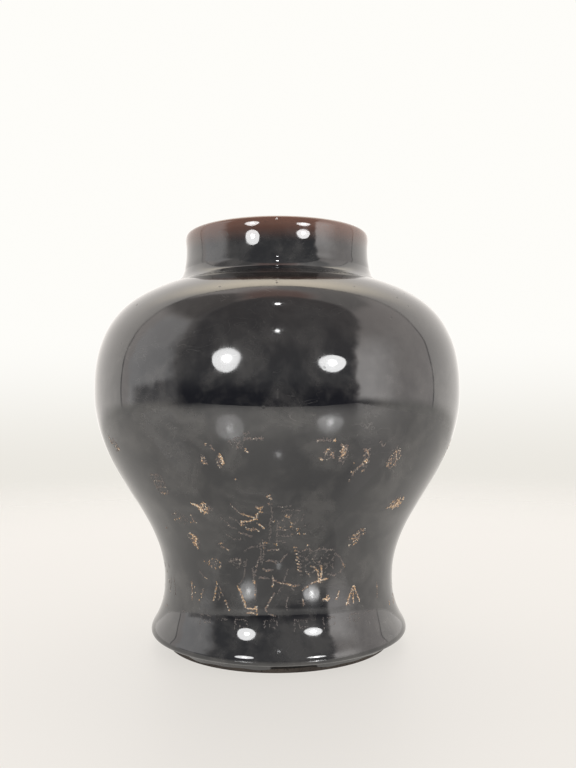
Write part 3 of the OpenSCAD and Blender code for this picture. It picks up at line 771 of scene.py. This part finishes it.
def dabs_on_bars(node):
    """The same for the node's bars in the CAD model, outside the front sector."""
    least_facing, per_mm2, jitter = 0.6, 4.5, 0.1 * MM
    least_chance, least_left, more_left, least_radius, more_radius = 0.35, 0.25, 0.8, 0.20, 0.20
    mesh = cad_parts[node].data
    mesh.calc_loop_triangles()
    corners = np.array([[mesh.vertices[v].co for v in t.vertices] for t in mesh.loop_triangles], float)
    cross = np.cross(corners[:, 1] - corners[:, 0], corners[:, 2] - corners[:, 0])
    area = np.linalg.norm(cross, axis=1) / 2
    middle = corners.mean(axis=1)
    out = middle * [1, 1, 0]
    out /= np.linalg.norm(out, axis=1)[:, None]
    facing = (cross / (2 * area[:, None]) * out).sum(axis=1) > least_facing
    facing &= np.abs(np.arctan2(middle[:, 0], -middle[:, 1])) > FRONT_SECTOR
    corners, area = corners[facing], area[facing]
    if not len(area):
        return
    count = int(per_mm2 * area.sum() / MM**2)
    pick = rng.choice(len(area), count, p=area / area.sum())
    u, v = rng.random(count), rng.random(count)
    flip = u + v > 1
    u[flip], v[flip] = 1 - u[flip], 1 - v[flip]
    place = corners[pick, 0] + u[:, None] * (corners[pick, 1] - corners[pick, 0])
    place += v[:, None] * (corners[pick, 2] - corners[pick, 0])
    place += rng.normal(0, jitter, place.shape)
    for x, y, z in place:
        angle = math.atan2(x, -y)
        wear = kept_gold(angle, z)
        if rng.random() < least_chance + (1 - least_chance) * wear:
            radius = (least_radius + more_radius * rng.random()) * MM
            yield angle, z, radius, min(1.0, least_left + more_left * wear * rng.random())


def make_gilding(node):
    """Thousands of small irregular flakes that lie on the uneven glaze."""
    sides, least_reach, more_reach = 5, 0.6, 0.55
    lift, gold_lift, rough_lift, sunk = 0.03, 0.03, 0.04, 0.04
    dabs = np.array([*dabs_on_strokes(node), *dabs_on_bars(node)])
    count = len(dabs)
    turn = rng.random((count, 1)) * 2 * math.pi + np.arange(sides) * 2 * math.pi / sides
    spread = dabs[:, 2:3] * (least_reach + more_reach * rng.random((count, sides)))
    ring_r = np.linalg.norm(face_point(dabs[:, 0], dabs[:, 1])[:, :2], axis=1)[:, None]
    angle = dabs[:, 0:1] + spread * np.cos(turn) / ring_r
    height = dabs[:, 1:2] + spread * np.sin(turn)
    above = lift + gold_lift * dabs[:, 3:] + rough_lift * rng.random((count, sides))
    tops = face_point(angle, height, above * MM)
    lows = face_point(angle, height, -sunk * MM)
    points = np.concatenate([tops, lows], axis=1).reshape(-1, 3)
    faces = []
    for start in range(0, count * 2 * sides, 2 * sides):
        faces.append([start + i for i in range(sides)])
        faces.append([start + 2 * sides - 1 - i for i in range(sides)])
        faces += [[start + i, start + sides + i, start + sides + (i + 1) % sides, start + (i + 1) % sides]
            for i in range(sides)]
    piece = add_mesh(node + "_flakes", points, faces, [node], smooth=False)
    # the gold layer also carries the painted glints, as full gold
    layer = piece.data.attributes.new("gold", "FLOAT", "POINT")
    layer.data.foreach_set("value", np.repeat(dabs[:, 3], 2 * sides).astype(np.float32))
    piece.data.materials.append(GILT)


# ---------------------------------------------------------------- camera, light and floor

def make_camera():
    """A little above the jar's middle, 2.2 belly widths from the axis, looking up by a degree or two."""
    near_clip, far_clip = 0.01, 50
    pitch, yaw, roll = math.radians(1.6), math.radians(0.745), math.radians(0.274)
    data = bpy.data.cameras.new("camera")
    data.lens = 36.5
    data.sensor_width = 36
    data.clip_start, data.clip_end = near_clip, far_clip
    camera = placed("camera", data)
    camera.location = (0, -0.5477, 0.1603)
    camera.rotation_euler = (math.pi / 2 + pitch, roll, -yaw)
    bpy.context.scene.camera = camera


def room_seen(g, side, up, rise):
    """The lit room, by directions in degrees: dark in front, lit curtains at both sides, a lit ceiling."""
    wall, ceiling, coving_grey = (1.23, 1.15, 1.11, 1), (0.70, 0.48, 0.43, 1), (0.42, 0.40, 0.39, 1)
    shade_grey, cloth, sunlit = (0.74, 0.72, 0.70, 1), (1.30, 1.28, 1.28, 1), (2.4, 2.3, 2.25, 1)
    low_dark, high_dark, skirting = (0.06, 0.06, 0.08, 1), (0.27, 0.27, 0.28, 1), (0.42, 0.41, 0.42, 1)
    room = g.mix(g.step(rise, 70, 82), wall, ceiling)
    coving = g.times(g.window(side, -132, -120, -70, -60), g.step(rise, 42, 52), g.step(up, 80, 72))
    room = g.mix(coving, room, coving_grey)
    room = g.mix(g.times(g.step(side, 58, 70), g.window(up, 52, 60, 72, 80)), room, shade_grey)
    room = g.mix(g.times(g.window(side, -104, -96, -70, -62), g.step(rise, 50, 42)), room, cloth)
    room = g.mix(g.times(g.window(side, 46, 50, 56, 84), g.step(up, 38, 14)), room, sunlit)
    slant = g.math("MULTIPLY_ADD", g.step(rise, 15, 65), -28.0, side)
    front = g.times(g.step(side, -74, -60), g.step(slant, 51, 44), g.step(up, 99, 80))
    room = g.mix(front, room, g.mix(g.step(rise, -3, 9), low_dark, high_dark))
    return g.mix(g.times(g.window(side, -98, -90, -66, -58), g.step(up, 5, 1)), room, skirting)


def tent_seen(g, room, x, y, z):
    """The tent behind the jar: a rounded frame on the +Y side, brightest at its top, with a grey edge."""
    half_width, tallest, roundness, nearest = 3.1, 2.6, 3, 0.001
    cloth, lit_cloth, seam = (1.36, 1.30, 1.24, 1), (3.0, 2.7, 2.2, 1), (0.3, 0.3, 0.3, 1)
    ahead = g.math("MAXIMUM", y, nearest)
    wide = g.math("DIVIDE", g.math("ABSOLUTE", x), ahead)
    tall = g.math("DIVIDE", g.math("MAXIMUM", z, 0), ahead)
    across = g.math("POWER", g.math("DIVIDE", wide, half_width), roundness)
    over = g.math("POWER", g.math("DIVIDE", tall, tallest), roundness)
    rim = g.math("POWER", g.math("ADD", across, over), 1 / roundness)
    crown = g.times(g.step(tall, 0.7, 1.9), g.step(wide, 1.5, 0.2))
    room = g.mix(g.step(rim, 1.03, 1.0), room, g.mix(crown, cloth, lit_cloth))
    return g.mix(g.times(g.window(rim, 0.97, 1.0, 1.05, 1.09), 0.75), room, seam)


def make_world():
    """A pale studio to the camera; to the glaze, a white tent behind, a lit room and its dark front."""
    pale_floor, dark_floor = (0.85, 0.82, 0.77, 1), (0.06, 0.06, 0.08, 1)
    low_backdrop, high_backdrop = (0.835, 0.81, 0.755, 1), (0.99, 0.98, 0.945, 1)
    side_wobble, up_wobble = 22.0, 16.0
    world = bpy.data.worlds.new("studio")
    bpy.context.scene.world = world
    world.use_nodes = True
    g = Graph(world.node_tree)
    way = g.add("ShaderNodeTexCoord", 0)
    parts = g.tree.nodes.new("ShaderNodeSeparateXYZ")
    g.feed(parts.inputs[0], way)
    x, y, z = parts.outputs
    level = g.math("SQRT", g.math("ADD", g.math("POWER", x, 2), g.math("POWER", y, 2)))
    angle = g.math("MULTIPLY", g.math("ARCTAN2", x, g.math("MULTIPLY", y, -1)), 180 / math.pi)
    rise = g.math("MULTIPLY", g.math("ARCTAN2", z, level), 180 / math.pi)
    wobble = g.math("SUBTRACT", g.noise(way, 3.0, 3, 0.6), 0.5)
    side = g.math("MULTIPLY_ADD", wobble, side_wobble, angle)
    up = g.math("MULTIPLY_ADD", wobble, up_wobble, rise)

    room = tent_seen(g, room_seen(g, side, up, rise), x, y, z)
    low_front = g.times(g.window(angle, -75, -55, 55, 75), g.step(rise, -35, -25))
    room = g.mix(g.step(rise, -3, -9), room, g.mix(low_front, pale_floor, dark_floor))
    backdrop = g.mix(g.step(rise, -5, 5), low_backdrop, high_backdrop)
    seen = g.add("ShaderNodeLightPath", 0)
    shade = g.add("ShaderNodeBackground", 0, None, i0=g.mix(seen, room, backdrop))
    g.add("ShaderNodeOutputWorld", 0, None, i0=shade)


# What the lamps face. Each lamp has its direction from there in degrees (round, then up), its distance,
# its size, and its brightness against 1 for white paper. The glaze doesn't mirror the overhead one.
LAMP_AIM = (0, 0, 0.16)
LAMPS = {
    "lamp_left": (-29.6, 16.9, 1.80, (0.51, 0.50), 8.5),
    "lamp_left_core": (-29.2, 16.7, 1.78, (0.13, 0.11), 30.0),
    "lamp_right": (31.4, 13.9, 1.80, (0.50, 0.33), 9.0),
    "lamp_right_core": (31.4, 13.7, 1.78, (0.13, 0.10), 30.0),
    "downlight_low": (0, 39, 1.80, (0.06, 0.06), 40.0),
    "downlight_high": (0, 72, 1.80, (0.06, 0.06), 40.0),
    "overhead": (0, 89, 1.50, (1.6, 1.6), 1.0),
}
UNMIRRORED = "overhead"


def make_lights():
    """Two round lamps in front, two small downlights above them, and a wide soft one overhead."""
    for name, (azimuth, rise, distance, (wide, tall), brightness) in LAMPS.items():
        data = bpy.data.lights.new(name, "AREA")
        data.shape = "ELLIPSE"
        data.size, data.size_y = wide, tall
        data.energy = brightness * math.pi * math.pi * wide * tall / 4
        lamp = placed(name, data)
        azimuth, rise = math.radians(azimuth), math.radians(rise)
        level = math.cos(rise)
        out = Vector((math.sin(azimuth) * level, -math.cos(azimuth) * level, math.sin(rise)))
        lamp.location = Vector(LAMP_AIM) + out * distance
        lamp.rotation_euler = out.to_track_quat("Z", "Y").to_euler()
        lamp.visible_camera = False
        lamp.visible_glossy = name != UNMIRRORED


def make_floor():
    """Pale seamless floor. It thins out far away, so no horizon shows, and ends at the table's edge."""
    grid, reach, front = 48, 1.6, -0.84
    paint, glow_tone = (0.106, 0.102, 0.098, 1), (0.86, 0.83, 0.785, 1)
    glow, lamp_glow, camera_loss = 0.775, 0.48, -0.40
    lit_y, front_y, far_radius = (-0.10, -0.42), (-0.36, -0.80), (0.45, 1.35)
    xs = np.linspace(-reach, reach, grid)
    ys = np.linspace(front, reach, grid)
    points = [(x, y, 0.0) for y in ys for x in xs]
    faces = [[j * grid + i, j * grid + i + 1, (j + 1) * grid + i + 1, (j + 1) * grid + i]
        for j in range(grid - 1) for i in range(grid - 1)]
    mesh = bpy.data.meshes.new("floor")
    mesh.from_pydata(points, [], faces)
    floor = placed("floor", mesh)
    made, g, shader = material("pale_floor")
    place = g.add("ShaderNodeTexCoord", 3)
    distance = g.add("ShaderNodeVectorMath", 1, {"operation": "LENGTH"}, i0=place)
    forward = g.add("ShaderNodeSeparateXYZ", 1, None, i0=place)
    seen = g.add("ShaderNodeLightPath", 0)
    # the floor is lit towards the lamps, much more to the glaze than to the camera
    lit = g.times(g.step(forward, *lit_y), g.math("MULTIPLY_ADD", seen, camera_loss, lamp_glow))
    g.feed(shader.inputs["Base Color"], paint)
    g.feed(shader.inputs["Emission Color"], glow_tone)
    g.feed(shader.inputs["Emission Strength"], g.math("ADD", lit, glow))
    shader.inputs["Roughness"].default_value = 0.55
    shader.inputs["Specular IOR Level"].default_value = 0.3
    # far away it thins out for every ray, and near the front edge for the camera's only
    front_fade = g.times(seen, g.step(forward, *front_y))
    kept = g.times(g.step(distance, *far_radius, 1.0, 0.0), g.math("SUBTRACT", 1.0, front_fade))
    g.feed(shader.inputs["Alpha"], kept)
    mesh.materials.append(made)


def make_polish():
    """The table's polish in front of the jar. Only the glaze sees it, with the lamps as soft glows."""
    half_width, near, far, height = 0.8, -0.10, -0.82, 0.3 * MM
    ior, most_gloss, roughness = 2.2, 0.70, 0.14
    mesh = bpy.data.meshes.new("table_polish")
    corners = [(-half_width, far), (half_width, far), (half_width, near), (-half_width, near)]
    mesh.from_pydata([(x, y, height) for x, y in corners], [], [(0, 1, 2, 3)])
    polish = placed("table_polish", mesh)
    made = bpy.data.materials.new("table_polish")
    made.use_nodes = True
    g = Graph(made.node_tree)
    place = g.add("ShaderNodeTexCoord", 3)
    outward = g.add("ShaderNodeVectorMath", 1, {"operation": "LENGTH"}, i0=place)
    rightward = g.add("ShaderNodeSeparateXYZ", 0, None, i0=place)
    from_above = g.math("SUBTRACT", 1.0, g.add("ShaderNodeNewGeometry", 6))
    # it is glossier near the jar and to the right, and clear from below
    share = g.math("MINIMUM", g.add("ShaderNodeFresnel", 0, None, IOR=ior), most_gloss)
    share = g.times(share, g.step(outward, 0.30, 0.42, 1.4, 0.62), g.step(rightward, -0.05, 0.05, 1.0, 1.7))
    gloss = g.add("ShaderNodeBsdfAnisotropic", 0, None, Roughness=roughness)
    clear = g.add("ShaderNodeBsdfTransparent", 0)
    surface = g.add("ShaderNodeMixShader", 0, None, i0=g.times(share, from_above), i1=clear, i2=gloss)
    g.add("ShaderNodeOutputMaterial", 0, None, i0=surface)
    mesh.materials.append(made)
    polish.visible_camera = polish.visible_diffuse = polish.visible_shadow = False


# ---------------------------------------------------------------- assembly

make_camera()
make_world()
make_lights()
make_floor()
make_polish()
make_outer_glaze()
make_inner_glaze()
for node in STROKES:
    make_gilding(node)
FINISHES = (
    (WASHED_CLAY, ("foot_section",)),
    (CLAY, ("base_disc", "lower_body", "shoulder_dome", "neck_collar")),
    (SLIP, ("base_slip_joint", "foot_slip_joint", "belly_slip_joint", "neck_slip_joint")),
)
for finish, nodes in FINISHES:
    for node in nodes:
        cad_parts[node].data.materials.clear()
        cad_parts[node].data.materials.append(finish)

bpy.context.scene.view_settings.view_transform = "Standard"
